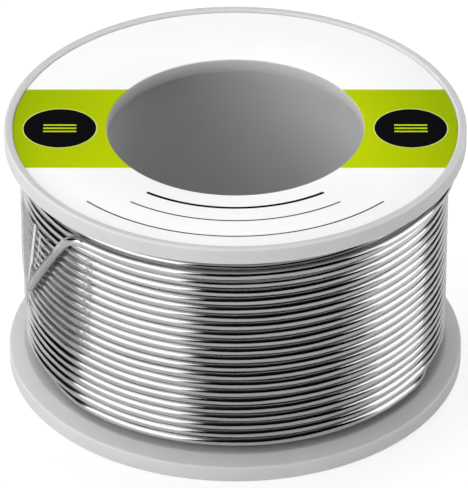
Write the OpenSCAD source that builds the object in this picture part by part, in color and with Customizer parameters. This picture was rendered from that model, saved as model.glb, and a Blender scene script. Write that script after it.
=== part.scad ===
// Spool of solder wire: a hub tube between two moulded flanges, a ring label on
// the upper flange, and wire wound in layers with its free end taped down.
// Millimetres. The origin is the centre of the underside, +Z is the spool's axis,
// and the front, where azimuth is 0, faces -Y. Azimuth grows to the right.

/* [Spool] */
// Diameter of both flanges
flange_d = 48; // [47:0.5:54]
// Height over both flanges
spool_h = 28.5; // [26:0.5:31]
// Thickness of a flange beside the wire
flange_t = 2.4; // [2.2:0.1:3.2]
// Thickness of a flange at its rim
rim_t = 1.75; // [1.4:0.05:2]
// Width of the slope on a flange's inner face, between the wire and the rim
slope_w = 1.6; // [1:0.1:1.7]
// Rounding of a flange's outer edge, on its rim
rim_round = 0.2; // [0.1:0.05:0.5]
// Width of the raised rim round the label
rim_w = 0.9; // [0.8:0.05:1.5]
// Depth of the recess that takes the label
recess_d = 0.4; // [0.15:0.05:0.45]

/* [Hub] */
// Diameter of the bore through the flanges
bore_d = 26.7; // [24:0.1:27.4]
// Flange left over the end of the hub tube
lip_t = 1.8; // [1:0.1:1.9]
// Step from the lip out to the inside of the hub tube
lip_step = 0.3; // [0.1:0.1:0.5]
// Wall of the hub tube
hub_wall = 1.6; // [1:0.1:1.8]

/* [Label] */
// Thickness of the ring label
label_t = 0.12; // [0.1:0.01:0.15]
// Bare recess left beside the label, at its rim and at the bore
label_margin = 0.05; // [0.05:0.05:0.3]

/* [Winding] */
// Diameter of the solder wire
wire_d = 1; // [0.8:0.05:1.05]
// Slack between one turn and the next
turn_slack = 0.024; // [0:0.002:0.05]
// Layers of wire on the hub
layers = 8; // [6:1:8]
// Clear gap left between the turns that the outer layer draws
turn_gap = 0.44; // [0.43:0.01:0.5]
// Azimuth where the outer layer comes up from the layer beneath
start_azimuth = 75; // [60:5:90]
// Arc at the back in which every turn steps over to the next place
step_arc = 60; // [45:15:90]

/* [Free end] */
// Azimuth where the last turn bends down
bend_azimuth = -42.5; // [-60:0.5:-20]
// Radius of the bend
bend_r = 4; // [3:0.5:6]
// Slope of the free end against the turns
tail_slope = 52; // [30:1:60]
// Straight length of the free end
tail_l = 12; // [6:0.5:14]

/* [Tape] */
// Width of the tape
tape_w = 12; // [9:0.5:13]
// Length of the tape
tape_l = 36; // [24:1:60]
// Thickness of the tape
tape_t = 0.1; // [0.05:0.01:0.15]
// Azimuth of the tape's front end
tape_azimuth = -42; // [-50:1:-35]
// Height of the middle of the tape's front end
tape_z = 16.6; // [14:0.1:17]
// Fall of the tape towards the back
tape_fall = 6.5; // [0:0.5:10]

/* [Clearances] */
// Radial clearance of the hub tube in the flanges
tube_fit = 0.05; // [0.02:0.01:0.1]
// Clearance between wire or tape and what it lies on
seat_gap = 0.05; // [0.02:0.01:0.1]

/* [Hidden] */
$fn = 120;

flange_r = flange_d / 2;
bore_r = bore_d / 2;
hub_inner_r = bore_r + lip_step;
hub_r = hub_inner_r + hub_wall;

// Turns lie a pitch apart, and each layer sits in the grooves of the one beneath.
pitch = wire_d + turn_slack;
layer_rise = sqrt(wire_d * wire_d - pitch * pitch / 4);
outer_r = hub_r + wire_d / 2 + (layers - 1) * layer_rise;
stack_top = spool_h - flange_t - seat_gap;
stack_turns = floor((stack_top - flange_t) / pitch);
stack_bottom = stack_top - stack_turns * pitch;
rows = stack_turns - 1;
first_row_z = stack_bottom + pitch;
last_row_z = first_row_z + (rows - 1) * pitch;

// The drawn wire is slimmer than the real one, so that its turns stay apart.
ring_step = 15;
sides = 6;
drawn_r = (wire_d - turn_gap) / 2;
core_r = outer_r * cos(ring_step / 2) - drawn_r - seat_gap;

// Travel along the wire is in degrees round the spool, from the start leftwards.
// After its last row the wire steps back by half a pitch and rides over its layer.
first_step = start_azimuth + 180;
last_step = first_step + 360 * (rows - 1);
bend_travel = start_azimuth - bend_azimuth + 360 * rows;
ride_r = outer_r + wire_d;
ride_z = last_row_z - pitch / 2;

// The free end leaves the last turn in a bend.
bend_run = bend_r * sin(tail_slope);
bend_drop = bend_r * (1 - cos(tail_slope));
bend_steps = 5;
tail_steps = 5;
tail_from = [bend_run, bend_drop];
tail_to = tail_from + tail_l * [cos(tail_slope), sin(tail_slope)];

// The tape lies on the drawn turns and rises in a ridge over the free end.
tape_r = outer_r + drawn_r + seat_gap;
ridge_half = wire_d;
ridge_foot = 3 * wire_d;
tape_cols = 24;
tape_rows = 12;

// Rises from 0 to 1 without a corner.
function smooth(x) = let(t = min(1, max(0, x))) t * t * (3 - 2 * t);

// Share of a step that is done at some travel.
function stepped(travel, centre) = smooth((travel - centre) / step_arc + 0.5);

function unit(v) = v / norm(v);

// Point from its azimuth, its distance from the axis and its height.
function place(azimuth, r, z) = [r * sin(azimuth), -r * cos(azimuth), z];

// Arc in millimetres to degrees of azimuth.
function arc_angle(arc, r) = arc / r * 180 / PI;

// Distance from point p to the stretch from a to b.
function stretch_gap(p, a, b) =
    let(d = b - a, t = min(1, max(0, (p - a) * d / (d * d))))
    norm(p - a - t * d);

// Rows that the wire has climbed at some travel.
function rows_climbed(travel) =
    let(turn = floor((travel - first_step) / 360 + 0.5))
    turn < 0 ? 0
    : turn >= rows - 1 ? rows - 1 - stepped(travel, last_step) / 2
    : turn + stepped(travel, first_step + 360 * turn);

// Distance of the wire's centre from the axis at some travel.
function wire_r(travel) =
    outer_r + wire_d * stepped(travel, last_step - step_arc);

function turn_point(travel) =
    place(start_azimuth - travel, wire_r(travel), first_row_z + pitch * rows_climbed(travel));

// Point of the free end from its run leftwards and its drop, both from the bend's start.
function end_point(run, drop) =
    place(bend_azimuth - arc_angle(run, ride_r), ride_r, ride_z - drop);

function bend_point(a) = end_point(bend_r * sin(a), bend_r * (1 - cos(a)));

function tail_point(share) =
    let(p = tail_from + share * (tail_to - tail_from))
    end_point(p.x, p.y);

wire_path = concat(
    [for (travel = [0 : ring_step : bend_travel - ring_step / 2]) turn_point(travel)],
    [for (i = [0 : bend_steps]) bend_point(tail_slope * i / bend_steps)],
    [for (i = [1 : tail_steps]) tail_point(i / tail_steps)]
);

// One ring of a tube, square to the path at point i and with a corner outwards.
function ring(path, i, r) =
    let(along = unit(path[min(i + 1, len(path) - 1)] - path[max(i - 1, 0)]),
        radial = [path[i].x, path[i].y, 0],
        across = unit(cross(along, radial)),
        out = cross(across, along))
    [for (k = [0 : sides - 1])
        path[i] + r * (cos(360 * k / sides) * out + sin(360 * k / sides) * across)];

// A closed tube of triangles along a path.
module tube(path, r) {
    final = (len(path) - 1) * sides;
    points = [for (i = [0 : len(path) - 1]) each ring(path, i, r)];
    walls = [for (i = [0 : len(path) - 2], k = [0 : sides - 1])
        let(a = i * sides + k, b = i * sides + (k + 1) % sides)
        each [[a, b + sides, b], [a, a + sides, b + sides]]];
    first_end = [for (k = [1 : sides - 2]) [0, k, k + 1]];
    last_end = [for (k = [1 : sides - 2]) [final, final + k + 1, final + k]];
    polyhedron(points, concat(walls, first_end, last_end));
}

// Least clear gap of the drawn tube to itself, past its own next few rings.
function self_gap(path, skip) =
    let(last = len(path) - 2)
    min([for (i = [0 : last - skip], j = [i + skip : last])
        min(stretch_gap(path[i], path[j], path[j + 1]),
            stretch_gap(path[j + 1], path[i], path[i + 1]))])
    - 2 * drawn_r;

// A quarter of a round, its centre at the origin.
module quarter(r) {
    intersection() {
        circle(r);
        square(r);
    }
}

// Half section of a flange with its outer face on the axis of x.
module flange_section() {
    round_x = flange_r - rim_round;
    difference() {
        union() {
            polygon([
                [bore_r, 0],
                [round_x, 0],
                [round_x, rim_round],
                [flange_r, rim_round],
                [flange_r, rim_t],
                [flange_r - slope_w, flange_t],
                [bore_r, flange_t]
            ]);
            translate([round_x, rim_round])
                mirror([0, 1])
                    quarter(rim_round);
        }
        // Recess for the label
        square([flange_r - rim_w, recess_d]);
        // Socket for the hub tube
        translate([0, lip_t])
            square([hub_r + tube_fit, flange_t]);
    }
}

// A flange with its outer face down.
module flange() {
    rotate_extrude()
        flange_section();
}

// A ring with its underside on z = 0.
module flat_ring(inner_r, outer_r, h) {
    rotate_extrude()
        translate([inner_r, 0])
            square([outer_r - inner_r, h]);
}

module hub_tube() {
    color([0.8, 0.8, 0.79])
        translate([0, 0, lip_t])
            flat_ring(hub_inner_r, hub_r, spool_h - 2 * lip_t);
}

module lower_flange() {
    color([0.88, 0.88, 0.87])
        flange();
}

module upper_flange() {
    color([0.88, 0.88, 0.87])
        translate([0, 0, spool_h])
            mirror([0, 0, 1])
                flange();
}

module ring_label() {
    color([0.97, 0.97, 0.96])
        translate([0, 0, spool_h - recess_d])
            flat_ring(bore_r + label_margin, flange_r - rim_w - label_margin, label_t);
}

module solder_inner_layers() {
    color([0.5, 0.5, 0.52])
        translate([0, 0, stack_bottom])
            flat_ring(hub_r + seat_gap, core_r, stack_top - stack_bottom);
}

module solder_outer_layer() {
    echo(loops = bend_travel / 360);
    echo(least_gap_mm = self_gap(wire_path, 6));
    color([0.72, 0.72, 0.74])
        tube(wire_path, drawn_r);
}

// Height of the tape over the turns at some azimuth and height.
function ridge(azimuth, z) =
    let(run = (bend_azimuth - azimuth) * PI / 180 * ride_r,
        away = stretch_gap([run, ride_z - z], tail_from, tail_to))
    wire_d * min(1, max(0, (ridge_foot - away) / (ridge_foot - ridge_half)));

// Point of the tape at u along it from its front end and v across it.
function tape_point(u, v, lift) =
    let(azimuth = tape_azimuth - arc_angle(u * cos(tape_fall) + v * sin(tape_fall), tape_r),
        z = tape_z - u * sin(tape_fall) + v * cos(tape_fall))
    place(azimuth, tape_r + ridge(azimuth, z) + lift, z);

module clear_tape() {
    per_side = (tape_cols + 1) * (tape_rows + 1);
    points = [for (lift = [tape_t, 0], i = [0 : tape_cols], j = [0 : tape_rows])
        tape_point(tape_l * i / tape_cols, tape_w * (j / tape_rows - 0.5), lift)];
    function at(i, j) = i * (tape_rows + 1) + j;
    function quad(a, b, c, d) = [[a, b, c], [a, c, d]];
    sheet = [for (i = [0 : tape_cols - 1], j = [0 : tape_rows - 1])
        let(a = at(i, j), b = at(i + 1, j), c = at(i + 1, j + 1), d = at(i, j + 1))
        each concat(quad(a, b, c, d),
                    quad(d + per_side, c + per_side, b + per_side, a + per_side))];
    long_edges = [for (i = [0 : tape_cols - 1])
        let(a = at(i, 0), b = at(i + 1, 0), c = at(i, tape_rows), d = at(i + 1, tape_rows))
        each concat(quad(b, a, a + per_side, b + per_side),
                    quad(c, d, d + per_side, c + per_side))];
    end_edges = [for (j = [0 : tape_rows - 1])
        let(a = at(0, j), b = at(0, j + 1), c = at(tape_cols, j), d = at(tape_cols, j + 1))
        each concat(quad(a, b, b + per_side, a + per_side),
                    quad(d, c, c + per_side, d + per_side))];
    color([0.9, 0.9, 0.88, 0.5])
        polyhedron(points, concat(sheet, long_edges, end_edges));
}

hub_tube();
lower_flange();
upper_flange();
ring_label();
solder_inner_layers();
solder_outer_layer();
clear_tape();
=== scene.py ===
"""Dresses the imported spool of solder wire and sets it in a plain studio.

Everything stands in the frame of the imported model, in metres: the origin is the
centre of the underside, +Z is the spool's axis and the front faces -Y. The sizes
held by the classes are in millimetres, and angles are in degrees. Azimuth is 0 at
the front and grows to the right.
"""

import logging  # noqa: E402
import math  # noqa: E402
from collections.abc import Callable, Sequence  # noqa: E402
from dataclasses import dataclass, field  # noqa: E402
from enum import Enum  # noqa: E402
from typing import Any, ClassVar  # noqa: E402

import bmesh  # noqa: E402
import bpy  # noqa: E402
import numpy as np  # noqa: E402
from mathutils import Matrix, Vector  # noqa: E402

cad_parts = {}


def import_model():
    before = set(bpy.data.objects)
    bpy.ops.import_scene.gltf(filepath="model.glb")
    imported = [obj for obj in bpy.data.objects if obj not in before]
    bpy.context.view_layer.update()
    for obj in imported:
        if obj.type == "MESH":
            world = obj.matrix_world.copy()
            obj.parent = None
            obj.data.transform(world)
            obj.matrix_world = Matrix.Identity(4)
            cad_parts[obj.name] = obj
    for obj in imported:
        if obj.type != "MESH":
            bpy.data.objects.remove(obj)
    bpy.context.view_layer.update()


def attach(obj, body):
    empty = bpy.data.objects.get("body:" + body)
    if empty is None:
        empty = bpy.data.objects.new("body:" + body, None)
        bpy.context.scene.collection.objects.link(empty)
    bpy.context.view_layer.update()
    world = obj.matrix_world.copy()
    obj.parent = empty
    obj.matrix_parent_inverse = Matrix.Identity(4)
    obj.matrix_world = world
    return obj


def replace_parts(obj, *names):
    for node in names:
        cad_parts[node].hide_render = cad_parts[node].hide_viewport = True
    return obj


LOG = logging.getLogger("spool")
MM = 0.001
Colour = tuple[float, float, float]
Outline = list[tuple[float, float]]
Corners = list[tuple[float, float, float]]
SPOOL_H = 28.5
FLANGE_T = 2.4
LIP_T = 1.8
HUB_R = 15.25
WIRE_MAP = "Along"
NOWHERE = 1e6  # a length that no wire reaches


class Slot(Enum):
    """The record's material slots; each turned piece holds the one it belongs to."""

    FLANGE = "flange_plastic"
    TUBE = "tube_plastic"
    LABEL = "label_paper"
    CORE = "solder_core"
    WIRE = "solder_wire"
    TAPE = "tape_film"


class Face(Enum):
    """Which way the outer face of a flange looks."""

    DOWN = 1
    UP = -1


# ---------------------------------------------------------------- shared helpers


def smooth_share(x: float) -> float:
    """Rises from 0 to 1 without a corner as x does."""
    t = min(1.0, max(0.0, x))
    return t * t * (3 - 2 * t)


def polar(azimuth: float, radius: float, height: float) -> Vector:
    """Turns a place round the spool into a point.

    Args:
        azimuth: Degrees from the front, to the right.
        radius: Distance from the axis in millimetres.
        height: Height over the underside in millimetres.

    Returns:
        The point in metres.
    """
    a = math.radians(azimuth)
    return Vector((radius * math.sin(a), -radius * math.cos(a), height)) * MM


def arc_angle(arc: float, radius: float) -> float:
    """Degrees of azimuth that an arc in millimetres spans at a radius."""
    return math.degrees(arc / radius)


def stretch_gap(p: np.ndarray, a: np.ndarray, b: np.ndarray) -> np.ndarray:
    """Distance of points from the stretch between two points.

    Args:
        p: Points, one to a row.
        a: Start of the stretch.
        b: End of the stretch.

    Returns:
        One distance for each point.
    """
    d = b - a
    t = np.clip(((p - a) @ d) / (d @ d), 0, 1)
    return np.linalg.norm(p - a - t[:, None] * d, axis=1)


def clipped(x: Any) -> np.ndarray:
    """Holds numbers between 0 and 1."""
    return np.clip(x, 0, 1)


def vertex_places(obj: bpy.types.Object) -> np.ndarray:
    """Places of a mesh's corners in its own frame, one to a row."""
    places = np.zeros(len(obj.data.vertices) * 3)
    obj.data.vertices.foreach_get("co", places)
    return places.reshape(-1, 3)


def drop_selection() -> None:
    """Leaves edit mode and deselects every object."""
    if bpy.context.object is not None and bpy.context.object.mode != "OBJECT":
        bpy.ops.object.mode_set(mode="OBJECT")
    bpy.ops.object.select_all(action="DESELECT")


def take_up(obj: bpy.types.Object) -> None:
    """Makes obj the only selected object and the active one."""
    drop_selection()
    obj.select_set(True)
    bpy.context.view_layer.objects.active = obj


def settle(obj: bpy.types.Object) -> None:
    """Puts the object's place into its mesh and makes all faces point outwards."""
    take_up(obj)
    bpy.ops.object.transform_apply(location=True, rotation=True, scale=True)
    bpy.ops.object.mode_set(mode="EDIT")
    bpy.ops.mesh.select_all(action="SELECT")
    bpy.ops.mesh.remove_doubles(threshold=1e-7)
    bpy.ops.mesh.normals_make_consistent(inside=False)
    bpy.ops.object.mode_set(mode="OBJECT")


def apply_modifiers(obj: bpy.types.Object) -> None:
    """Applies every modifier of obj, from the first to the last."""
    take_up(obj)
    for name in [m.name for m in obj.modifiers]:
        bpy.ops.object.modifier_apply(modifier=name)


def fillet(corners: Corners, steps: int) -> Outline:
    """Rounds the corners of a closed outline.

    Args:
        corners: Radius, height and rounding of each corner in millimetres.
        steps: Stretches in each rounding.

    Returns:
        The outline's points in order.
    """
    made: Outline = []
    for i, (x, z, rounding) in enumerate(corners):
        if rounding <= 0:
            made.append((x, z))
            continue
        here = np.array([x, z])
        back = np.array(corners[i - 1][:2]) - here
        on = np.array(corners[(i + 1) % len(corners)][:2]) - here
        back, on = back / np.linalg.norm(back), on / np.linalg.norm(on)
        half = math.acos(float(np.clip(back @ on, -1, 1))) / 2
        middle = (back + on) / np.linalg.norm(back + on)
        centre = here + middle * rounding / math.sin(half)
        first = here + back * rounding / math.tan(half) - centre
        last = here + on * rounding / math.tan(half) - centre
        sweep = math.atan2(first[0] * last[1] - first[1] * last[0], first @ last)
        for k in range(steps + 1):
            a = sweep * k / steps
            turned = (
                first[0] * math.cos(a) - first[1] * math.sin(a),
                first[0] * math.sin(a) + first[1] * math.cos(a),
            )
            made.append((float(centre[0] + turned[0]), float(centre[1] + turned[1])))
    return made


def turn_on_lathe(name: str, outline: Outline, steps: int) -> bpy.types.Object:
    """Spins a closed half section once round the spool's axis.

    Args:
        name: Name of the new piece.
        outline: Radius and height of each corner in millimetres.
        steps: Stretches round the turn.

    Returns:
        The turned piece, its place in its mesh.
    """
    drop_selection()
    start = Vector((outline[0][0], 0, outline[0][1])) * MM
    bpy.ops.mesh.primitive_plane_add(size=MM, location=start)
    obj = bpy.context.object
    obj.name = obj.data.name = name
    bpy.ops.object.mode_set(mode="EDIT")
    bpy.ops.mesh.select_all(action="SELECT")
    bpy.ops.mesh.merge(type="CENTER")
    for (r0, z0), (r1, z1) in zip(outline, outline[1:]):
        move = {"value": ((r1 - r0) * MM, 0, (z1 - z0) * MM)}
        bpy.ops.mesh.extrude_vertices_move(TRANSFORM_OT_translate=move)
    shape = bmesh.from_edit_mesh(obj.data)
    for v in shape.verts:
        v.select = len(v.link_edges) < 2
    shape.select_flush_mode()
    bmesh.update_edit_mesh(obj.data)
    bpy.ops.mesh.edge_face_add()
    bpy.ops.mesh.select_all(action="SELECT")
    bpy.ops.mesh.spin(
        steps=steps, angle=math.tau, center=(0, 0, 0), axis=(0, 0, 1), dupli=False
    )
    settle(obj)
    return obj


def wind_wire(
    name: str, runs: Sequence[tuple[list[Vector], bool]], diameter: float
) -> bpy.types.Object:
    """Draws round wire along runs of points and makes it one mesh.

    Args:
        name: Name of the new piece.
        runs: Points in metres of each run, and whether it closes on itself.
        diameter: Diameter of the wire in millimetres.

    Returns:
        The wire, with a UV map of its turn round the section and its length.
    """
    drop_selection()
    bpy.ops.curve.primitive_bezier_circle_add(radius=MM, location=(0, 0, 0))
    obj = bpy.context.object
    obj.name = name
    line = obj.data
    line.splines.clear()
    line.dimensions = "3D"
    line.twist_mode = "Z_UP"
    for points, closed in runs:
        spline = line.splines.new("POLY")
        spline.points.add(len(points) - 1)
        spline.points.foreach_set("co", [c for p in points for c in (*p, 1.0)])
        spline.use_cyclic_u = closed
    line.bevel_depth = diameter / 2 * MM
    line.bevel_resolution = 5
    line.use_fill_caps = True
    take_up(obj)
    bpy.ops.object.convert(target="MESH")
    obj = bpy.context.object
    obj.data.name = name
    return obj


def measure_wire(obj: bpy.types.Object, length: float) -> None:
    """Rewrites the wire's UV map: U goes once round the section, V is the length.

    Args:
        obj: The wire as a mesh, with the map that its curve gave it.
        length: Length in millimetres of each run.
    """
    layer = obj.data.uv_layers.active
    layer.name = WIRE_MAP
    uv = np.zeros(len(obj.data.loops) * 2, np.float32)
    layer.data.foreach_get("uv", uv)
    uv = uv.reshape(-1, 2)
    uv = np.stack([uv[:, 1], uv[:, 0] * length], -1)
    layer.data.foreach_set("uv", np.ascontiguousarray(uv, np.float32).ravel())


# ---------------------------------------------------------------- node helpers


class Value:
    """A node's output, which does sums by adding Math nodes."""

    def __init__(self, board: "Board", socket: bpy.types.NodeSocket) -> None:
        """Wraps an output.

        Args:
            board: The board that the node is on.
            socket: The output.
        """
        self.board = board
        self.socket = socket

    def __add__(self, other: Any) -> "Value":
        """This plus the other."""
        return self.board.maths("ADD", self, other)

    def __sub__(self, other: Any) -> "Value":
        """This less the other."""
        return self.board.maths("SUBTRACT", self, other)

    def __rsub__(self, number: float) -> "Value":
        """A number less this."""
        return self.board.maths("SUBTRACT", number, self)

    def __mul__(self, other: Any) -> "Value":
        """This times the other."""
        return self.board.maths("MULTIPLY", self, other)

    def __abs__(self) -> "Value":
        """This without its sign."""
        return self.board.maths("ABSOLUTE", self)


class Board:
    """A node tree with short ways to add nodes and join them."""

    def __init__(self, tree: bpy.types.NodeTree) -> None:
        """Takes over a node tree.

        Args:
            tree: The tree that new nodes go into.
        """
        self.tree = tree

    def add(self, kind: str, **settings: Any) -> bpy.types.Node:
        """Adds a node with its settings, by attribute name."""
        node = self.tree.nodes.new(kind)
        for key, value in settings.items():
            setattr(node, key, value)
        return node

    def feed(self, socket: bpy.types.NodeSocket, value: Any) -> None:
        """Gives a socket a value, or joins it to another node's output."""
        if isinstance(value, Value):
            self.tree.links.new(value.socket, socket)
        elif socket.type == "RGBA":
            socket.default_value = (*value, 1)
        else:
            socket.default_value = value

    def node(
        self, kind: str, inputs: dict[Any, Any], output: str | int = 0, **settings: Any
    ) -> Value:
        """Adds a node, feeds it and takes one of its outputs.

        Args:
            kind: The node's type name.
            inputs: Values or outputs for its inputs, by name or number.
            output: The output that is wanted.
            **settings: Its settings, by attribute name.

        Returns:
            The output.
        """
        node = self.add(kind, **settings)
        for key, value in inputs.items():
            self.feed(node.inputs[key], value)
        return Value(self, node.outputs[output])

    def maths(self, operation: str, *values: Any) -> Value:
        """Adds a Math node that takes numbers or outputs."""
        return self.node("ShaderNodeMath", dict(enumerate(values)), operation=operation)

    def hypot(self, x: Value, y: Value) -> Value:
        """Distance of the place x, y from the origin."""
        return self.maths("SQRT", x * x + y * y)

    def cosine(self, share: Value, crest: float = 0.0) -> Value:
        """Cosine of a share of a turn: 1 at the crest, -1 half a turn away."""
        return self.maths("COSINE", (share - crest) * math.tau)

    def ramp(self, value: Value, low: float, high: float) -> Value:
        """Goes smoothly from 0 to 1 as value goes from low up to high."""
        inputs = {"Value": value, "From Min": low, "From Max": high}
        return self.node(
            "ShaderNodeMapRange", inputs, "Result", interpolation_type="SMOOTHSTEP"
        )

    def inside(self, value: Value, limit: float, soft: float = 0.03) -> Value:
        """Is 1 up to a limit and 0 beyond it, with a soft edge between."""
        return 1.0 - self.ramp(value, limit, limit + soft)

    def blend(self, share: Value, a: Any, b: Any) -> Value:
        """Mixes two colours: a where share is 0, and b where it is 1."""
        return self.node("ShaderNodeMix", {0: share, 6: a, 7: b}, 2, data_type="RGBA")

    def stretched(self, vector: Value, scale: tuple[float, float, float]) -> Value:
        """Scales a vector with a Mapping node."""
        return self.node("ShaderNodeMapping", {"Vector": vector, "Scale": scale})

    def noise(self, vector: Value, scale: float, detail: float = 2) -> Value:
        """Adds a Noise texture and takes its value."""
        inputs = {"Vector": vector, "Scale": scale, "Detail": detail}
        return self.node("ShaderNodeTexNoise", inputs)

    def long_noise(
        self, vector: Value, scale: tuple[float, float, float], detail: float
    ) -> Value:
        """Noise with a scale of its own along each axis."""
        return self.noise(self.stretched(vector, scale), 1.0, detail)

    def split(self, vector: Value) -> tuple[Value, ...]:
        """Separates a vector into its three parts."""
        node = self.add("ShaderNodeSeparateXYZ")
        self.feed(node.inputs[0], vector)
        return tuple(Value(self, socket) for socket in node.outputs)

    def bumped(self, height: Value, distance: float, strength: float) -> Value:
        """Makes a normal from a height.

        Args:
            height: Output with the height.
            distance: Depth in millimetres that a height of 1 stands for.
            strength: Share of the effect.

        Returns:
            The normal.
        """
        inputs = {"Strength": strength, "Distance": distance * MM, "Height": height}
        return self.node("ShaderNodeBump", inputs)

    def place(self) -> Value:
        """The shaded point in the object's own frame."""
        return self.node("ShaderNodeTexCoord", {}, "Object")


def fresh_board(
    owner: bpy.types.Material | bpy.types.World, output: str = "ShaderNodeOutputMaterial"
) -> tuple[Board, bpy.types.NodeSocket]:
    """Clears the nodes of a material or a world and adds its output.

    Args:
        owner: The material or the world.
        output: Type name of its output node.

    Returns:
        Its board, and the socket that takes its surface.
    """
    owner.use_nodes = True
    owner.node_tree.nodes.clear()
    board = Board(owner.node_tree)
    return board, board.add(output).inputs["Surface"]


class Effect:
    """A shader node group that several materials share."""

    OUTPUTS: ClassVar[dict[str, str]] = {
        "Colour": "NodeSocketColor",
        "Roughness": "NodeSocketFloat",
        "Height": "NodeSocketFloat",
    }
    KINDS: ClassVar[dict[type, str]] = {
        type(None): "NodeSocketVector",
        tuple: "NodeSocketColor",
        float: "NodeSocketFloat",
    }

    def __init__(
        self,
        name: str,
        inputs: dict[str, Any],
        fill: Callable[[Board, dict[str, Value]], dict[str, Value]],
    ) -> None:
        """Builds the group once.

        Args:
            name: The group's name.
            inputs: Default of each input, by name: None stands for a vector.
            fill: Makes the inner nodes and returns a value for each output.
        """
        self.tree = bpy.data.node_groups.new(name, "ShaderNodeTree")
        for key, default in inputs.items():
            made = self.tree.interface.new_socket(
                key, in_out="INPUT", socket_type=self.KINDS[type(default)]
            )
            if default is not None:
                made.default_value = default
        for key, kind in self.OUTPUTS.items():
            self.tree.interface.new_socket(key, in_out="OUTPUT", socket_type=kind)
        board = Board(self.tree)
        entry, way_out = board.add("NodeGroupInput"), board.add("NodeGroupOutput")
        results = fill(board, {key: Value(board, entry.outputs[key]) for key in inputs})
        for key, value in results.items():
            board.feed(way_out.inputs[key], value)

    def place(self, board: Board, **values: Any) -> dict[str, Value]:
        """Places the group in a material.

        Args:
            board: The material's board.
            **values: The group's inputs, with _ for each space in a name.

        Returns:
            Its outputs by name.
        """
        node = board.add("ShaderNodeGroup", node_tree=self.tree)
        for key, value in values.items():
            board.feed(node.inputs[key.replace("_", " ")], value)
        return {socket.name: Value(board, socket) for socket in node.outputs}


class Effects:
    """The effects that more than one of the spool's materials uses."""

    CLOUD_SCALE: ClassVar[float] = 90
    GRAIN_SCALE: ClassVar[float] = 5200
    RUB_SCALE: ClassVar[tuple[float, float, float]] = (700, 700, 160)
    LINE_SCALE: ClassVar[tuple[float, float, float]] = (9, 9, 0.06)
    FINE_SCALE: ClassVar[tuple[float, float, float]] = (26, 26, 0.25)
    PATCH_SCALE: ClassVar[tuple[float, float, float]] = (0.7, 0.7, 0.10)
    SWAY_SCALE: ClassVar[tuple[float, float, float]] = (0.3, 0.3, 0.15)
    SWAY_HEIGHT: ClassVar[float] = 260.0
    TOP_U: ClassVar[float] = 0.179
    FLANK_U: ClassVar[float] = 0.077
    # Near-black colour of the painted shade on the wire.
    PAINTED_SHADE_COLOUR: ClassVar[Colour] = (0.02, 0.02, 0.02)

    def __init__(self) -> None:
        """Builds the groups."""
        self.handled = Effect(
            "Handled surface",
            {
                "Vector": None,
                "Colour": (0.8, 0.8, 0.8, 1),
                "Shadow Colour": (0.7, 0.7, 0.7, 1),
                "Roughness": 0.45,
                "Spread": 0.05,
                "Grain": 1.0,
            },
            self._fill_handled,
        )
        self.drawn = Effect(
            "Drawn wire",
            {
                "Along": None,
                "Colour": (0.6, 0.6, 0.6, 1),
                "Dull Colour": (0.4, 0.4, 0.4, 1),
                "Roughness": 0.3,
                "Spread": 0.1,
                "Loose From": NOWHERE,
            },
            self._fill_drawn,
        )

    @classmethod
    def _fill_handled(cls, board: Board, into: dict[str, Value]) -> dict[str, Value]:
        """Cloudy tone, fine moulded grain and a few soft rubs."""
        cloud = board.noise(into["Vector"], cls.CLOUD_SCALE, 3)
        grain = board.noise(into["Vector"], cls.GRAIN_SCALE, 2)
        rubbed = board.ramp(board.long_noise(into["Vector"], cls.RUB_SCALE, 4), 0.60, 0.75)
        shadowed = board.ramp(cloud, 0.25, 0.75)
        shine = into["Roughness"] - rubbed * into["Spread"]
        return {
            "Colour": board.blend(shadowed, into["Colour"], into["Shadow Colour"]),
            "Roughness": shine + (cloud - 0.5) * into["Spread"],
            "Height": grain * into["Grain"],
        }

    @classmethod
    def _fill_drawn(cls, board: Board, into: dict[str, Value]) -> dict[str, Value]:
        """Fine lines along the wire, left by the die, long dull stretches, a slow sway, and
        painted shade in the crevices and on the free end.
        """
        u, v, _ = board.split(into["Along"])
        parts = (board.cosine(u), board.maths("SINE", u * math.tau), v)
        around = board.node("ShaderNodeCombineXYZ", dict(enumerate(parts)))
        lines = board.long_noise(around, cls.LINE_SCALE, 3)
        fine = board.long_noise(around, cls.FINE_SCALE, 2)
        patch = board.long_noise(around, cls.PATCH_SCALE, 3)
        sway = board.long_noise(around, cls.SWAY_SCALE, 1)
        mark = lines * 0.6 + fine * 0.4
        dull = board.ramp(patch, 0.35, 0.8) * board.ramp(mark, 0.35, 0.65)
        # Painted shade where neighbours touch, at the top and at the foot of the section.
        crevice_shade = board.ramp(abs(board.cosine(u, cls.TOP_U)), 0.70, 0.97)
        # Painted shade on the free end, which has no neighbours: darker along its flanks where
        # the film leaves it, and a little darker all over.
        loose = board.ramp(v - into["Loose From"], -1.0, 1.0)
        flank_shade = board.ramp(abs(board.cosine(u, cls.FLANK_U)), 0.66, 0.84) * loose
        # How far the colour goes towards the near-black painted shade.
        shaded = board.maths("MAXIMUM", crevice_shade * 0.30, flank_shade * 0.78 + loose * 0.12)
        clean = board.blend(dull, into["Colour"], into["Dull Colour"])
        return {
            "Colour": board.blend(shaded, clean, cls.PAINTED_SHADE_COLOUR),
            "Roughness": into["Roughness"] + (mark - 0.5) * into["Spread"],
            "Height": sway * cls.SWAY_HEIGHT + mark,
        }


# ---------------------------------------------------------------- finishes


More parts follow.
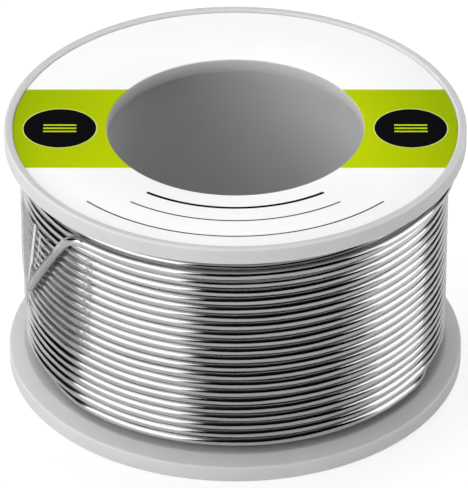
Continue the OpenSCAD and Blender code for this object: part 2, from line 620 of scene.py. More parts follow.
@dataclass(frozen=True)
class PlasticFinish:
    """Satin plastic as it comes from the mould or the extruder."""

    name: str
    colour: Colour
    shadow_colour: Colour
    roughness: float
    spread: float
    grain: float
    milky: float = 0.12

    def material(self, effects: Effects) -> bpy.types.Material:
        """Makes the material from the shared effects."""
        made = bpy.data.materials.new(self.name)
        board, surface = fresh_board(made)
        look = effects.handled.place(
            board,
            Vector=board.place(),
            Colour=self.colour,
            Shadow_Colour=self.shadow_colour,
            Roughness=self.roughness,
            Spread=self.spread,
            Grain=self.grain,
        )
        inputs = {
            "Base Color": look["Colour"],
            "Roughness": look["Roughness"],
            "Normal": board.bumped(look["Height"], 0.01, 0.35),
            "Subsurface Weight": self.milky,
            "Subsurface Radius": (1.0, 0.95, 0.9),
            "Subsurface Scale": 0.8 * MM,
            "IOR": 1.49,
        }
        board.feed(surface, board.node("ShaderNodeBsdfPrincipled", inputs))
        return made


@dataclass(frozen=True)
class WireFinish:
    """Bright drawn metal, with fine lines along the wire."""

    name: str
    colour: Colour
    dull_colour: Colour
    roughness: float
    spread: float
    stretch: float = 0.3
    loose_from: float = NOWHERE

    def material(self, effects: Effects) -> bpy.types.Material:
        """Makes the material from the shared effects and the map along the wire."""
        made = bpy.data.materials.new(self.name)
        board, surface = fresh_board(made)
        look = effects.drawn.place(
            board,
            Along=board.node("ShaderNodeUVMap", {}, uv_map=WIRE_MAP),
            Colour=self.colour,
            Dull_Colour=self.dull_colour,
            Roughness=self.roughness,
            Spread=self.spread,
            Loose_From=self.loose_from,
        )
        inputs = {
            "Base Color": look["Colour"],
            "Roughness": look["Roughness"],
            "Normal": board.bumped(look["Height"], 0.004, 0.22),
            "Metallic": 1.0,
            "Anisotropic": self.stretch,
            "Tangent": board.node(
                "ShaderNodeTangent", {}, direction_type="UV_MAP", uv_map=WIRE_MAP
            ),
        }
        board.feed(surface, board.node("ShaderNodeBsdfPrincipled", inputs))
        return made


@dataclass(frozen=True)
class LabelFinish:
    """Printed paper: white, with a straight coloured band and two dark discs."""

    name: str = "Printed label paper"
    paper: Colour = (0.93, 0.93, 0.93)
    band: Colour = (0.49, 0.605, 0.002)
    band_edge: Colour = (0.31, 0.425, 0.002)
    line: Colour = (0.60, 0.70, 0.20)
    ink: Colour = (0.004, 0.004, 0.005)
    band_half: float = 7.6
    band_end: float = 21.9
    grade_out: float = 0.071
    grade_forward: float = 0.027
    disc_x: float = 18.2
    disc_r: float = 3.76
    line_w: float = 0.12
    mark_pitch: float = 0.62
    mark_half: float = 1.7
    mark_edges: tuple[float, float] = (0.16, 0.12)
    print_y: float = -0.45
    rules: tuple[tuple[float, float, float], ...] = (
        (15.3, 0.34, 36.0),
        (17.7, 0.16, 37.0),
        (20.6, 0.16, 47.0),
    )

    def material(self, effects: Effects) -> bpy.types.Material:
        """Makes the material. The print lies flat on the label's own X and Y."""
        made = bpy.data.materials.new(self.name)
        board, surface = fresh_board(made)
        place = board.place()
        look = effects.handled.place(
            board,
            Vector=place,
            Colour=self.paper,
            Shadow_Colour=tuple(c * 0.975 for c in self.paper),
            Roughness=0.55,
            Spread=0.05,
            Grain=0.6,
        )
        inputs = {
            "Base Color": self.printed(board, place, look["Colour"]),
            "Roughness": look["Roughness"],
            "Normal": board.bumped(look["Height"], 0.004, 0.3),
            "Specular IOR Level": 0.015,
        }
        board.feed(surface, board.node("ShaderNodeBsdfPrincipled", inputs))
        return made

    def printed(self, board: Board, place: Value, paper: Value) -> Value:
        """Lays the print over the paper.

        Args:
            board: The material's board.
            place: The shaded point in the label's own frame.
            paper: Colour of the bare paper.

        Returns:
            The printed colour.
        """
        x, y, _ = board.split(board.stretched(place, (1 / MM, 1 / MM, 1 / MM)))
        y = y - self.print_y
        off_middle = abs(y)
        bordered = board.inside(off_middle, self.band_half + self.line_w)
        colour = board.blend(bordered, paper, self.line)
        outwards, forwards = self.band_end - abs(x), self.band_half - y
        graded = outwards * self.grade_out + forwards * self.grade_forward
        green = board.blend(graded, self.band_edge, self.band)
        colour = board.blend(board.inside(off_middle, self.band_half), colour, green)
        across = abs(x) - self.disc_x
        reach = board.hypot(across, y)
        ringed = board.inside(reach, self.disc_r + self.line_w)
        colour = board.blend(ringed, colour, self.line)
        colour = board.blend(board.inside(reach, self.disc_r), colour, self.ink)
        half = self.mark_pitch / 2
        outer, inner = self.mark_edges
        stripe = board.maths("PINGPONG", y + half, half)
        stripe = board.ramp(stripe, half - outer, half - inner)
        wide = board.inside(abs(across), self.mark_half)
        tall = board.inside(off_middle, 3 * half - 0.02, 0.02)
        colour = board.blend(stripe * wide * tall, colour, self.band)
        out = board.hypot(x, y)
        swing = abs(board.maths("ARCTAN2", x, y * -1.0))
        for radius, width, half_span in self.rules:
            beside = board.inside(abs(out - radius), width / 2)
            within = board.inside(swing, math.radians(half_span), 0.002)
            colour = board.blend(beside * within, colour, self.ink)
        return colour


@dataclass(frozen=True)
class TapeFinish:
    """Clear film: hazy at the left, with painted highlights along its folds, bubbled at its front
    end.
    """

    name: str = "Clear tape film"
    colour: Colour = (0.86, 0.86, 0.86)
    tent_colour: Colour = (0.32, 0.32, 0.32)
    shade_patch_colour: Colour = (0.24, 0.24, 0.24)
    roughness: float = 0.29
    clear_alpha: float = 0.03
    most_alpha: float = 0.95
    stuck_alpha: float = 0.03
    haze_alpha: float = 0.16
    fold_alpha: float = 0.70
    shade_patch_alpha: float = 0.11
    bubble_alpha: float = 0.30

    def material(self) -> bpy.types.Material:
        """Makes the material from the film's own attributes."""
        made = bpy.data.materials.new(self.name)
        board, surface = fresh_board(made)
        stuck, haze, fold, shade_patch, bubbled = (
            board.node("ShaderNodeAttribute", {}, "Fac", attribute_name=key)
            for key in ClearTape.MARKS
        )
        place = board.place()
        mottle = board.noise(place, 900, 3)
        speck = board.noise(place, 4200, 2)
        bubble = board.ramp(board.noise(place, 3100, 3), 0.50, 0.58)
        # Dark specks along the bubbled front edge.
        bubble_specks = bubbled * board.ramp(board.noise(place, 1900, 3), 0.47, 0.53)
        streak = board.ramp(board.long_noise(place, (350, 350, 2600), 2), 0.35, 0.65)
        # Painted highlight: the film is whiter along its creases and ripples.
        tone = board.blend(board.ramp(fold, 0.05, 0.4), self.tent_colour, self.colour)
        # The patch below the free end is painted shade.
        dark = board.maths("MAXIMUM", shade_patch, bubble_specks)
        alpha = (
            stuck * self.stuck_alpha * (mottle * 0.6 + 0.7)
            + haze * self.haze_alpha * (mottle * 0.4 + 0.8)
            + fold * self.fold_alpha * (speck * 0.3 + 0.85)
            + shade_patch * self.shade_patch_alpha * (streak * 1.2 + 0.4)
            + bubbled * self.bubble_alpha * bubble
            + self.clear_alpha
        )
        inputs = {
            "Base Color": board.blend(dark, tone, self.shade_patch_colour),
            "IOR": 1.5,
            "Alpha": board.maths("MINIMUM", alpha, self.most_alpha),
            "Roughness": mottle * 0.1 + self.roughness,
            "Normal": board.bumped(mottle, 0.02, 0.25),
        }
        board.feed(surface, board.node("ShaderNodeBsdfPrincipled", inputs))
        return made


def dress(
    obj: bpy.types.Object, finish: bpy.types.Material, body: str = "root"
) -> None:
    """Gives a piece its finish and makes it ride on its body.

    Args:
        obj: The piece.
        finish: Its material.
        body: The body that the piece moves with.
    """
    obj.data.materials.clear()
    obj.data.materials.append(finish)
    take_up(obj)
    bpy.ops.object.shade_smooth_by_angle(angle=math.radians(40))
    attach(obj, body)


# ---------------------------------------------------------------- the spool itself


@dataclass
class Turned:
    """A piece that is one half section, turned round the spool's axis."""

    SLOT: ClassVar[Slot]
    ROUND_STEPS: ClassVar[int] = 3

    name: str
    node: str

    def corners(self) -> Corners:
        """Radius, height and rounding of each corner, in millimetres."""
        raise NotImplementedError

    def build(self, finish: bpy.types.Material) -> bpy.types.Object:
        """Makes and dresses the piece.

        Args:
            finish: Its material.

        Returns:
            The piece.
        """
        obj = turn_on_lathe(self.name, fillet(self.corners(), self.ROUND_STEPS), 240)
        dress(obj, finish)
        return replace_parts(obj, self.node)


@dataclass
class Flange(Turned):
    """One of the two moulded flanges."""

    SLOT = Slot.FLANGE
    ROUND_STEPS = 7

    face: Face
    outer_r: float = 24.0
    bore_r: float = 13.35
    rim_t: float = 1.75
    slope_w: float = 1.6
    rim_w: float = 0.9
    recess_d: float = 0.4
    socket_r: float = 15.3
    rim_round: float = 0.2

    def corners(self) -> Corners:
        """Half section of the flange, with its outer face down or up."""
        recess_r = self.outer_r - self.rim_w
        corners = [
            (self.bore_r, self.recess_d, 0.07),
            (recess_r, self.recess_d, 0.06),
            (recess_r, 0.0, 0.26),
            (self.outer_r, 0.0, self.rim_round),
            (self.outer_r, self.rim_t, self.rim_round),
            (self.outer_r - self.slope_w, FLANGE_T, 0.8),
            (self.socket_r, FLANGE_T, 0.12),
            (self.socket_r, LIP_T, 0.04),
            (self.bore_r, LIP_T, 0.05),
        ]
        if self.face is Face.UP:
            return [(r, SPOOL_H - z, rounding) for r, z, rounding in corners]
        return corners


@dataclass
class HubTube(Turned):
    """The tube between the flanges, which the wire is wound on."""

    SLOT = Slot.TUBE

    name: str = "hub_tube_dressed"
    node: str = "hub_tube"
    inner_r: float = 13.65
    outer_r: float = HUB_R

    def corners(self) -> Corners:
        """Half section of the tube, from lip to lip."""
        low, high = LIP_T, SPOOL_H - LIP_T
        return [
            (self.inner_r, low, 0.1),
            (self.outer_r, low, 0.1),
            (self.outer_r, high, 0.1),
            (self.inner_r, high, 0.1),
        ]


@dataclass
class RingLabel(Turned):
    """The printed ring that lies in the upper flange's recess."""

    SLOT = Slot.LABEL

    name: str = "ring_label_dressed"
    node: str = "ring_label"
    inner_r: float = 13.4
    outer_r: float = 23.05
    thickness: float = 0.12
    floor_z: float = 28.1

    def corners(self) -> Corners:
        """Half section of the label, softer at its upper edges."""
        low, high = self.floor_z, self.floor_z + self.thickness
        return [
            (self.inner_r, low, 0.01),
            (self.outer_r, low, 0.01),
            (self.outer_r, high, 0.04),
            (self.inner_r, high, 0.04),
        ]


# ---------------------------------------------------------------- the winding


@dataclass
class WindingPlan:
    """Where every turn of the wire lies, with the same values as the part's source."""

    wire_d: float = 1.0
    turn_slack: float = 0.024
    layers: int = 8
    hub_r: float = HUB_R
    seat_gap: float = 0.05
    start_azimuth: float = 75.0
    step_arc: float = 60.0
    bend_azimuth: float = -42.5
    bend_r: float = 4.0
    tail_slope: float = 52.0
    tail_l: float = 12.0
    lead_in: float = 75.0
    wander: float = 0.022
    pitch: float = field(init=False)
    layer_rise: float = field(init=False)
    outer_r: float = field(init=False)
    stack_top: float = field(init=False)
    stack_turns: int = field(init=False)
    stack_bottom: float = field(init=False)
    rows: int = field(init=False)
    first_row_z: float = field(init=False)
    last_row_z: float = field(init=False)

    def __post_init__(self) -> None:
        """Works out the places of the rows."""
        self.pitch = self.wire_d + self.turn_slack
        self.layer_rise = math.sqrt(self.wire_d**2 - self.pitch**2 / 4)
        self.outer_r = self.hub_r + self.wire_d / 2 + (self.layers - 1) * self.layer_rise
        self.stack_top = SPOOL_H - FLANGE_T - self.seat_gap
        self.stack_turns = math.floor((self.stack_top - FLANGE_T) / self.pitch)
        self.stack_bottom = self.stack_top - self.stack_turns * self.pitch
        self.rows = self.stack_turns - 1
        self.first_row_z = self.stack_bottom + self.pitch
        self.last_row_z = self.first_row_z + (self.rows - 1) * self.pitch

    @property
    def first_step(self) -> float:
        """Travel at the middle of the first step to the next row."""
        return self.start_azimuth + 180

    @property
    def last_step(self) -> float:
        """Travel at the middle of the last step, back by half a row."""
        return self.first_step + 360 * (self.rows - 1)

    @property
    def bend_travel(self) -> float:
        """Travel at which the last turn starts to bend down."""
        return self.start_azimuth - self.bend_azimuth + 360 * self.rows

    @property
    def over_r(self) -> float:
        """Distance from the axis of a wire that crosses over the outer turns."""
        return self.outer_r + self.wire_d

    @property
    def ride_z(self) -> float:
        """Height of the last turn, in the groove between the two top rows."""
        return self.last_row_z - self.pitch / 2

    def stepped(self, travel: float, centre: float) -> float:
        """Share of a step that is done at some travel."""
        return smooth_share((travel - centre) / self.step_arc + 0.5)

    def climbed(self, travel: float) -> float:
        """Rows that the wire has climbed at some travel."""
        turn = math.floor((travel - self.first_step) / 360 + 0.5)
        if turn < 0:
            return 0.0
        if turn >= self.rows - 1:
            return self.rows - 1 - self.stepped(travel, self.last_step) / 2
        return turn + self.stepped(travel, self.first_step + 360 * turn)

    def sunk(self, travel: float) -> float:
        """Share by which the lowest turn lies down in the layer beneath."""
        rising = 1 - smooth_share(travel / 17)
        sinking = smooth_share((travel - 118) / 26) * (1 - self.stepped(travel, self.first_step))
        return max(rising, sinking)

    def radius(self, travel: float) -> float:
        """Distance of the wire's centre from the axis at some travel."""
        climb = self.climbed(travel)
        crossing = math.sin(math.pi * (climb % 1)) ** 2 if climb < self.rows - 1.5 else 0
        up = self.stepped(travel, self.last_step - self.step_arc)
        settled = self.stepped(travel, self.last_step)
        groove = self.wire_d - self.layer_rise
        return (
            self.outer_r
            - self.layer_rise * self.sunk(travel)
            + groove * crossing
            + self.wire_d * up
            - groove * settled
        )

    def waver(self, travel: float) -> tuple[float, float]:
        """Small, steady wander of the wire out of and along the spool."""
        t = math.radians(travel)
        row = math.floor((travel + 105) / 360)
        along = math.sin(0.83 * t + 1.7 * row) + 0.6 * math.sin(2.31 * t + 2.9 * row)
        out = math.sin(1.37 * t + 0.9 * row) + 0.5 * math.sin(3.1 * t + row)
        return out * self.wander * 0.5, along * self.wander

    def turns(self, step: float = 3.75) -> list[Vector]:
        """Points of the outer turns, from where they come up to the bend."""
        points = []
        count = math.ceil((self.bend_travel + self.lead_in) / step)
        for i in range(count):
            travel = i * step - self.lead_in
            out, along = self.waver(travel)
            height = self.first_row_z + self.pitch * self.climbed(travel)
            height -= 0.5 * self.pitch * self.sunk(travel)
            points.append(
                polar(self.start_azimuth - travel, self.radius(travel) + out, height + along)
            )
        return points

    def end_point(self, run: float, drop: float, radius: float) -> Vector:
        """Point of the free end from its run leftwards and its drop."""
        return polar(self.bend_azimuth - arc_angle(run, self.over_r), radius, self.ride_z - drop)

    def free_end(self) -> list[Vector]:
        """Points of the bend and the straight free end."""
        points = []
        ride_r = self.outer_r + self.layer_rise
        for i in range(13):
            a = math.radians(self.tail_slope) * i / 12
            radius = ride_r + (self.over_r - ride_r) * smooth_share(i / 8)
            points.append(
                self.end_point(self.bend_r * math.sin(a), self.bend_r * (1 - math.cos(a)), radius)
            )
        start, end = self.tail_stretch()
        for i in range(1, 21):
            at = start + (end - start) * i / 20
            points.append(self.end_point(float(at[0]), float(at[1]), self.over_r))
        return points

    def path(self) -> list[Vector]:
        """Points of the whole outer layer, to the tip of the free end."""
        return self.turns() + self.free_end()

    def length(self) -> float:
        """Length of the outer layer's wire in millimetres."""
        path = self.path()
        return sum((b - a).length for a, b in zip(path, path[1:])) / MM

    def tail_stretch(self) -> tuple[np.ndarray, np.ndarray]:
        """Start and end of the straight free end, as run and drop."""
        a = math.radians(self.tail_slope)
        start = np.array([self.bend_r * math.sin(a), self.bend_r * (1 - math.cos(a))])
        return start, start + self.tail_l * np.array([math.cos(a), math.sin(a)])


@dataclass
class OuterTurns:
    """The outer layer of wire in one length, with its last turn and its free end."""

    plan: WindingPlan
    name: str = "solder_outer_layer_dressed"
    node: str = "solder_outer_layer"

    def build(self, finish: bpy.types.Material) -> bpy.types.Object:
        """Winds and dresses the wire.

        Args:
            finish: Its material.

        Returns:
            The piece.
        """
        path, length = self.plan.path(), self.plan.length()
        obj = wind_wire(self.name, [(path, False)], self.plan.wire_d)
        LOG.info("%s: %.0f mm of wire, %d rings", self.name, length, len(path))
        measure_wire(obj, length)
        dress(obj, finish)
        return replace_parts(obj, self.node)


@dataclass
class InnerLayers:
    """The layer of turns beneath the outer one, and the wound mass under it."""

    plan: WindingPlan
    name: str = "solder_inner_layers_dressed"
    node: str = "solder_inner_layers"
    mass_depth: float = 0.25

    def build(self, finish: bpy.types.Material) -> bpy.types.Object:
        """Winds and dresses the turns.

        Args:
            finish: Their material.

        Returns:
            The piece.
        """
        plan = self.plan
        radius = plan.outer_r - plan.layer_rise
        runs: list[tuple[list[Vector], bool]] = []
        for row in range(plan.stack_turns):
            # The outer layer comes up from the lowest turn, which is only an arc.
            bearings = range(0, 360, 4) if row else range(70, -44, -3)
            height = plan.stack_bottom + (row + 0.5) * plan.pitch
            runs.append(([polar(a, radius, height) for a in bearings], row > 0))
        wire = wind_wire(self.name, runs, plan.wire_d)
        measure_wire(wire, math.tau * radius)
        inner_r, mass_r = plan.hub_r + plan.seat_gap, radius - self.mass_depth
        low, high = plan.stack_bottom, plan.stack_top
        section = [(inner_r, low), (mass_r, low), (mass_r, high), (inner_r, high)]
        mass = turn_on_lathe(self.name + "_mass", section, 120)
        take_up(mass)
        wire.select_set(True)
        bpy.context.view_layer.objects.active = wire
        bpy.ops.object.join()
        dress(wire, finish)
        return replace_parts(wire, self.node)


# ---------------------------------------------------------------- the tape


@dataclass
class ClearTape:
    """The strip that holds the free end down, stretched over it like a tent."""

    plan: WindingPlan
    name: str = "clear_tape_dressed"
    node: str = "clear_tape"
    width: float = 12.0
    length: float = 36.0
    thickness: float = 0.05
    front_azimuth: float = -42.0
    middle_z: float = 16.6
    fall: float = 6.5
    fine_length: float = 20.0
    fine_share: float = 0.82
    columns: int = 190
    rows: int = 84
    front_lean: float = 0.17
    veil_azimuths: tuple[float, float] = (68.0, 132.0)
    veil_low: float = 11.0
    veil_lift: float = 0.16
    turn_sag: float = 0.035
    pucker: float = 0.02
    haze_edge: tuple[float, float] = (67.3, 21.8)
    haze_lean: float = 0.75
    fan_strength: float = 0.18
    fan_pitch: float = 0.62
    # Middle and size of the patch of painted shade below the free end.
    shade_patch_at: tuple[float, float] = (-54.5, 13.8)
    shade_patch_size: tuple[float, float] = (3.0, 5.2)

    MARKS: ClassVar[tuple[str, ...]] = ("stuck", "haze", "fold", "shade_patch", "bubbled")

    def __post_init__(self) -> None:
        """Sets the corners of the tent as azimuth, height and lift."""
        self.lie_r = self.plan.outer_r + self.plan.wire_d / 2 + 0.01
        self.tent = {
            "crest_top": (-52.3, 22.7, 1.0),
            "crest_tip": (-69.1, 13.7, 1.0),
            "left_top": (-67.3, 21.8, 0.0),
            "left_mid": (-71.3, 16.0, 0.0),
            "left_low": (-75.0, 11.5, 0.0),
            "foot_left": (-77.8, 8.8, 0.0),
            "foot_right": (-66.0, 9.5, 0.0),
            "right_low": (-65.4, 12.4, 0.0),
            "right_top": (-48.6, 22.7, 0.0),
            "inner_top": (-62.2, 21.7, 0.0),
            "inner_low": (-64.8, 17.2, 0.0),
            "inner_side": (-60.6, 18.4, 0.0),
        }
        self.panels = (
            ("crest_top", "crest_tip", "left_mid"),
            ("crest_top", "left_mid", "left_top"),
            ("crest_tip", "left_low", "left_mid"),
            ("crest_tip", "foot_left", "left_low"),
            ("crest_tip", "foot_right", "foot_left"),
            ("crest_tip", "right_low", "foot_right"),
            ("crest_top", "right_top", "right_low"),
            ("crest_top", "right_low", "crest_tip"),
        )
        self.folds = (
            ("left_top", "left_mid", 0.85, 0.40),
            ("left_mid", "left_low", 0.85, 0.40),
            ("left_low", "foot_left", 0.6, 0.40),
            ("crest_tip", "foot_left", 0.7, 0.30),
            ("crest_tip", "foot_right", 0.45, 0.24),
            ("inner_top", "inner_low", 0.55, 0.24),
            ("inner_top", "inner_side", 0.35, 0.22),
        )

    def flat(self, azimuth: Any, height: Any) -> np.ndarray:
        """Unrolls places round the spool: millimetres leftwards and up."""
        return np.stack([-np.radians(azimuth) * self.lie_r, np.asarray(height, float)], -1)

    def corner(self, key: str) -> np.ndarray:
        """Unrolled place of a corner of the tent."""
        azimuth, height, _ = self.tent[key]
        return self.flat(azimuth, height)

    def lift(self, spots: np.ndarray) -> np.ndarray:
        """Height of the film over the turns.

        Args:
            spots: Unrolled places, one to a row.

        Returns:
            The lift of each in millimetres.
        """
        lifted = np.zeros(len(spots))
        for keys in self.panels:
            a, b, c = (self.corner(k) for k in keys)
            high = [self.tent[k][2] for k in keys]
            area = (b[0] - a[0]) * (c[1] - a[1]) - (c[0] - a[0]) * (b[1] - a[1])
            p = spots - a
            s = (p[:, 0] * (c[1] - a[1]) - (c[0] - a[0]) * p[:, 1]) / area
            t = ((b[0] - a[0]) * p[:, 1] - p[:, 0] * (b[1] - a[1])) / area
            inside = (s >= 0) & (t >= 0) & (s + t <= 1)
            value = high[0] + s * (high[1] - high[0]) + t * (high[2] - high[0])
            lifted = np.where(inside, np.maximum(lifted, value), lifted)
        away = self.tail_gap(spots)
        half = self.plan.wire_d / 2
        over = half + np.sqrt(np.maximum(half**2 - away**2, 0)) + 0.02
        return np.where(away < half, np.maximum(lifted, over), lifted)

    def tail_gap(self, spots: np.ndarray) -> np.ndarray:
        """Distance of unrolled places from the free end's centre line."""
        return stretch_gap(spots, *self.tail_ends())

    def tail_ends(self) -> list[np.ndarray]:
        """Unrolled places of the two ends of the straight free end."""
        ends = []
        for run, drop in self.plan.tail_stretch():
            azimuth = self.plan.bend_azimuth - arc_angle(run, self.plan.over_r)
            ends.append(self.flat(azimuth, self.plan.ride_z - drop))
        return ends

    def shape(self, obj: bpy.types.Object) -> None:
        """Moves the flat grid's corners to where the film lies."""
        t, s, _ = (vertex_places(obj) + 0.5).T
        u = np.interp(t, (0, self.fine_share, 1), (0, self.fine_length, self.length))
        v = (s - 0.5) * self.width
        ragged = 0.05 * np.sin(7.1 * v) + 0.04 * np.sin(15.7 * v + 1)
        u = u + (ragged - 0.1 - self.front_lean * v) * clipped(1 - u / 6)
        fall = math.radians(self.fall)
        across = u * math.cos(fall) + v * math.sin(fall)
        azimuth = self.front_azimuth - np.degrees(across / self.lie_r)
        height = self.middle_z - u * math.sin(fall) + v * math.cos(fall)
        spots = self.flat(azimuth, height)
        veil_from, veil_to = self.veil_azimuths
        slack = clipped((-azimuth - veil_from) / 8) * clipped((veil_to + azimuth) / 20)
        slack *= clipped((height - self.veil_low) / 2)
        lifted = np.maximum(self.lift(spots), self.veil_lift * slack)
        held = clipped(1 - lifted / 0.12)
        turn = (height - self.plan.first_row_z) / self.plan.pitch
        sag = self.turn_sag * (1 - np.cos(math.tau * turn)) / 2 * held
        pucker = self.pucker * np.sin(1.9 * spots[:, 0] + 1.1 * spots[:, 1]) * held
        radius = self.lie_r + lifted - sag + np.abs(pucker)
        a = np.radians(azimuth)
        places = np.stack([radius * np.sin(a), -radius * np.cos(a), height], -1) * MM
        obj.data.vertices.foreach_set("co", places.ravel())
        obj.data.update()

    def folded(self, spots: np.ndarray) -> np.ndarray:
        """Share of painted highlight that the creases and the fan of ripples give.

        Args:
            spots: Unrolled places, one to a row.

        Returns:
            One share for each place.
        """
        fold = np.zeros(len(spots))
        for first, last, strength, width in self.folds:
            away = stretch_gap(spots, self.corner(first), self.corner(last))
            fold = np.maximum(fold, strength * clipped(1.5 - 1.5 * away / width))
        start, end = self.tail_ends()
        along = (end - start) / np.linalg.norm(end - start)
        beside = (spots - start) @ np.array([along[1], -along[0]])
        down = (spots - start) @ along
        fan = clipped((beside - 0.6) / 0.5) * clipped((4.6 - beside) / 3.5)
        fan *= clipped(down / 1.5) * clipped((14.0 - down) / 3)
        swing = (down + 0.25 * np.sin(1.3 * beside)) / self.fan_pitch
        ripple = 0.5 + 0.5 * np.sin(math.tau * swing)
        return np.maximum(fold, self.fan_strength * fan * ripple**2)

    def mark(self, obj: bpy.types.Object) -> None:
        """Stores where the film is stuck, hazy, folded with painted highlights, darkened by a
        patch of painted shade, and bubbled.
        """
        places = vertex_places(obj) / MM
        azimuth = np.degrees(np.arctan2(places[:, 0], -places[:, 1]))
        azimuth = np.where(azimuth > 90, azimuth - 360, azimuth)
        spots = self.flat(azimuth, places[:, 2])
        left, up = spots.T
        haze_from, haze_top = self.haze_edge
        hazy = clipped((-azimuth - haze_from - self.haze_lean * (haze_top - up)) / 1.5)
        # A patch of painted shade below the free end.
        aside, above = (spots - self.flat(*self.shade_patch_at)).T
        wide, tall = self.shade_patch_size
        reach = np.hypot(aside / wide, (above + 0.5 * aside) / tall)
        edge = self.flat(self.front_azimuth, 0.0)[0]
        over_edge = left - edge + self.front_lean * (up - self.middle_z)
        marks = {
            "stuck": clipped(1 - self.lift(spots) / 0.2),
            "haze": hazy * clipped((up - self.veil_low) / 2),
            "fold": self.folded(spots),
            "shade_patch": clipped(1.6 - 1.3 * reach),
            "bubbled": clipped(1 - np.abs(over_edge - 0.7) / 1.2),
        }
        for key, values in marks.items():
            layer = obj.data.attributes.new(key, "FLOAT", "POINT")
            layer.data.foreach_set("value", values.astype(np.float32))

    def build(self, finish: bpy.types.Material) -> bpy.types.Object:
        """Lays and dresses the film.

        Args:
            finish: Its material.

        Returns:
            The piece.
        """
        drop_selection()
        bpy.ops.mesh.primitive_grid_add(
            x_subdivisions=self.columns, y_subdivisions=self.rows, size=1, location=(0, 0, 0)
        )
        obj = bpy.context.object
        obj.name = obj.data.name = self.name
        self.shape(obj)
        settle(obj)
        self.face_out(obj)
        film = obj.modifiers.new("Film", "SOLIDIFY")
        film.thickness = self.thickness * MM
        film.offset = 1.0
        apply_modifiers(obj)
        self.mark(obj)
        dress(obj, finish)
        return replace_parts(obj, self.node)

    def face_out(self, obj: bpy.types.Object) -> None:
        """Turns the open film so that its faces look away from the axis."""
        middle = obj.data.polygons[len(obj.data.polygons) // 2]
        if middle.normal.dot(Vector((middle.center.x, middle.center.y, 0))) < 0:
            take_up(obj)
            bpy.ops.object.mode_set(mode="EDIT")
            bpy.ops.mesh.select_all(action="SELECT")
            bpy.ops.mesh.flip_normals()
            bpy.ops.object.mode_set(mode="OBJECT")


# ---------------------------------------------------------------- the studio


@dataclass(frozen=True)
class Panel:
    """A soft light panel that stands round the spool and faces it."""

    name: str
    azimuth: float
    elevation: float
    distance: float
    width: float
    height: float
    brightness: float
    mirrored: bool = True
    lights: bool = True

    def build(self) -> None:
        """Adds the panel's lamp."""
        drop_selection()
        a, e = math.radians(self.azimuth), math.radians(self.elevation)
        away = Vector((math.sin(a) * math.cos(e), -math.cos(a) * math.cos(e), math.sin(e)))
        bpy.ops.object.light_add(type="AREA", location=away * self.distance)
        lamp = bpy.context.object
        lamp.name = self.name
        lamp.rotation_euler = away.to_track_quat("Z", "Y").to_euler()
        lamp.data.shape = "RECTANGLE"
        lamp.data.size = self.width
        lamp.data.size_y = self.height
        lamp.data.energy = self.brightness * math.pi * self.width * self.height
        lamp.visible_glossy = self.mirrored
        lamp.visible_diffuse = self.lights


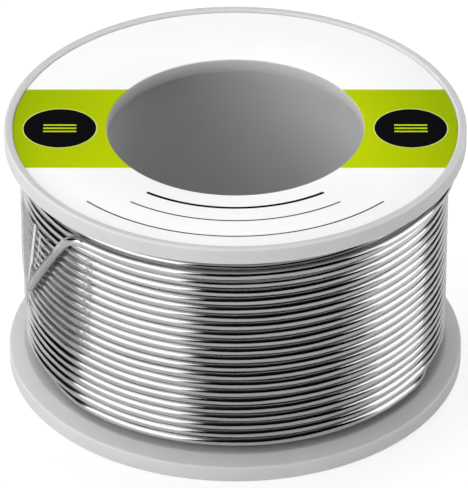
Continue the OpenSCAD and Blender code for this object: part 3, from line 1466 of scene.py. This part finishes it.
@dataclass
class Studio:
    """Pale floor, pale surroundings with a dim front, soft panels and the camera."""

    front_floor_shade: Colour = (0.53, 0.53, 0.53)
    floor_behind: Colour = (0.72, 0.72, 0.72)
    behind_y: tuple[float, float] = (-0.014, 0.006)
    seen_floor: Colour = (0.34, 0.34, 0.34)
    seen_glow: float = 0.74
    ceiling_rise: tuple[float, float] = (0.70, 0.86)
    camera_at: tuple[float, float, float] = (-0.000137, -0.490092, 0.332231)
    camera_dip: float = 33.029
    camera_lens: float = 409.93
    panels: tuple[Panel, ...] = (
        Panel("left_panel", -56, 24, 0.62, 0.70, 0.62, 0.85),
        Panel("right_panel", 92, 24, 0.62, 0.40, 0.62, 0.80, lights=False),
        Panel("top_panel", -172, 73, 0.70, 0.60, 0.60, 2.90, mirrored=False),
        Panel("front_fill", -66, 30, 0.80, 0.90, 0.50, 0.76, mirrored=False),
        Panel("low_front_fill", -26, 4, 0.90, 1.10, 0.12, 10.5, mirrored=False),
        Panel("low_right_fill", 72, 3, 0.90, 1.00, 0.09, 11.4, mirrored=False),
        Panel("side_left_fill", -112, 4, 0.90, 0.90, 0.12, 5.2, mirrored=False),
        Panel("side_right_fill", 122, 24, 0.90, 0.60, 0.30, 1.3, mirrored=False),
    )
    walls: Outline = field(
        default_factory=lambda: [
            *((-180, 0.01), (-161, 0.01), (-151, 0.04), (-141, 0.90), (-135, 0.90)),
            *((-126, 0.005), (-93, 0.003), (-87, 0.50), (-27, 0.50), (-21, 0.002)),
            *((66, 0.002), (72, 0.40), (113, 0.45), (120, 0.01), (129, 0.01)),
            *((139, 0.48), (146, 0.35), (157, 0.01), (180, 0.01)),
        ]
    )
    ceiling: Outline = field(
        default_factory=lambda: [
            *((-180, 0.20), (-150, 0.65), (-60, 0.80), (-36, 0.42), (-20, 0.04)),
            *((0, 0.015), (70, 0.015), (100, 0.16), (145, 0.45), (180, 0.20)),
        ]
    )

    def lay_floor(self) -> None:
        """Adds the floor. The camera sees it white, with the spool's faint shadow. Other rays see
        it darker in front of the spool than behind it: painted shade.
        """
        drop_selection()
        bpy.ops.mesh.primitive_plane_add(size=6, location=(0, 0, 0))
        floor = bpy.context.object
        floor.name = "studio_floor"
        made = bpy.data.materials.new("Pale floor")
        board, surface = fresh_board(made)
        _, y, _ = board.split(board.place())
        # Painted shade on the floor that the metal mirrors: darker in front, paler behind.
        tone = board.blend(
            board.ramp(y, *self.behind_y), self.front_floor_shade, self.floor_behind
        )
        inputs = {"Base Color": tone, "Roughness": 0.2, "IOR": 1.6}
        plain = board.node("ShaderNodeBsdfPrincipled", inputs)
        pale = board.node("ShaderNodeBsdfDiffuse", {"Color": self.seen_floor})
        inputs = {"Color": (1, 1, 1), "Strength": self.seen_glow}
        glow = board.node("ShaderNodeEmission", inputs)
        white = board.node("ShaderNodeAddShader", {0: pale, 1: glow})
        seen, through = (
            board.node("ShaderNodeLightPath", {}, ray)
            for ray in ("Is Camera Ray", "Is Transmission Ray")
        )
        clear = board.maths("MAXIMUM", seen, through)
        board.feed(surface, board.node("ShaderNodeMixShader", {0: clear, 1: plain, 2: white}))
        floor.data.materials.append(made)

    @staticmethod
    def ring_of_tones(board: Board, share: Value, tones: Outline) -> Value:
        """Makes a grey that changes with the bearing.

        Args:
            board: The world's board.
            share: Bearing as a share of the turn, 0.5 at the front.
            tones: Azimuths in rising order, each with its grey.

        Returns:
            The grey.
        """
        ramp = board.add("ShaderNodeValToRGB")
        stops = ramp.color_ramp.elements
        for i, (azimuth, _) in enumerate(tones):
            at = azimuth / 360 + 0.5
            stop = stops[i] if i < 2 else stops.new(at)
            stop.position = at
        for stop, (_, grey) in zip(sorted(stops, key=lambda s: s.position), tones):
            stop.color = (grey, grey, grey, 1)
        board.feed(ramp.inputs[0], share)
        return Value(board, ramp.outputs[0])

    def paint_surroundings(self) -> None:
        """Makes the world: white to the camera, and a room with a dim front to all else."""
        world = bpy.data.worlds.new("Studio surroundings")
        bpy.context.scene.world = world
        board, surface = fresh_board(world, "ShaderNodeOutputWorld")
        x, y, z = board.split(board.node("ShaderNodeTexCoord", {}, "Generated"))
        bearing = board.maths("ARCTAN2", x, y * -1.0)
        share = board.maths("DIVIDE", bearing, math.tau) + 0.5
        walls, ceiling = (
            self.ring_of_tones(board, share, tones) for tones in (self.walls, self.ceiling)
        )
        room = board.blend(board.ramp(z, *self.ceiling_rise), walls, ceiling)
        seen = board.node("ShaderNodeLightPath", {}, "Is Camera Ray")
        shown = board.blend(seen, room, (1.0, 1.0, 1.0))
        board.feed(surface, board.node("ShaderNodeBackground", {"Color": shown}))

    def place_camera(self) -> None:
        """Adds the camera, which looks down on the spool's front."""
        drop_selection()
        tilt = math.radians(90 - self.camera_dip)
        bpy.ops.object.camera_add(location=self.camera_at, rotation=(tilt, 0, 0))
        camera = bpy.context.object
        camera.name = "studio_camera"
        camera.data.sensor_width = 36
        camera.data.lens = self.camera_lens
        camera.data.clip_start = 0.05
        camera.data.clip_end = 20
        bpy.context.scene.camera = camera

    def build(self) -> None:
        """Builds the whole studio."""
        bpy.context.scene.view_settings.view_transform = "Standard"
        self.lay_floor()
        self.paint_surroundings()
        for panel in self.panels:
            panel.build()
        self.place_camera()


# ---------------------------------------------------------------- everything


def main() -> None:
    """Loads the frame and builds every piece."""
    logging.basicConfig(level=logging.INFO, format="%(name)s: %(message)s")
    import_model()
    effects = Effects()
    plan = WindingPlan()
    moulded = PlasticFinish(
        "Moulded flange plastic", (0.62, 0.62, 0.615), (0.59, 0.59, 0.59), 0.42, 0.06, 1.0, 0.7
    ).material(effects)
    extruded = PlasticFinish(
        "Extruded tube plastic", (0.63, 0.63, 0.63), (0.595, 0.595, 0.60), 0.5, 0.08, 0.8
    ).material(effects)
    bright = WireFinish(
        "Bright drawn solder",
        (0.80, 0.80, 0.81),
        (0.74, 0.74, 0.75),
        roughness=0.09,
        spread=0.03,
        loose_from=plan.length() - 2 * plan.tail_l,
    ).material(effects)
    # The turns beneath are the same solder, given a darker colour as painted shade.
    shaded = WireFinish(
        "Wound solder beneath", (0.66, 0.66, 0.67), (0.55, 0.55, 0.56), 0.12, 0.04
    ).material(effects)
    pieces = [
        Flange("lower_flange_dressed", "lower_flange", Face.DOWN).build(moulded),
        Flange("upper_flange_dressed", "upper_flange", Face.UP).build(moulded),
        HubTube().build(extruded),
        RingLabel().build(LabelFinish().material(effects)),
        InnerLayers(plan).build(shaded),
        OuterTurns(plan).build(bright),
        ClearTape(plan).build(TapeFinish().material()),
    ]
    for piece in pieces:
        LOG.info("%s: %d faces", piece.name, len(piece.data.polygons))
    Studio().build()


if __name__ == "__main__":
    main()
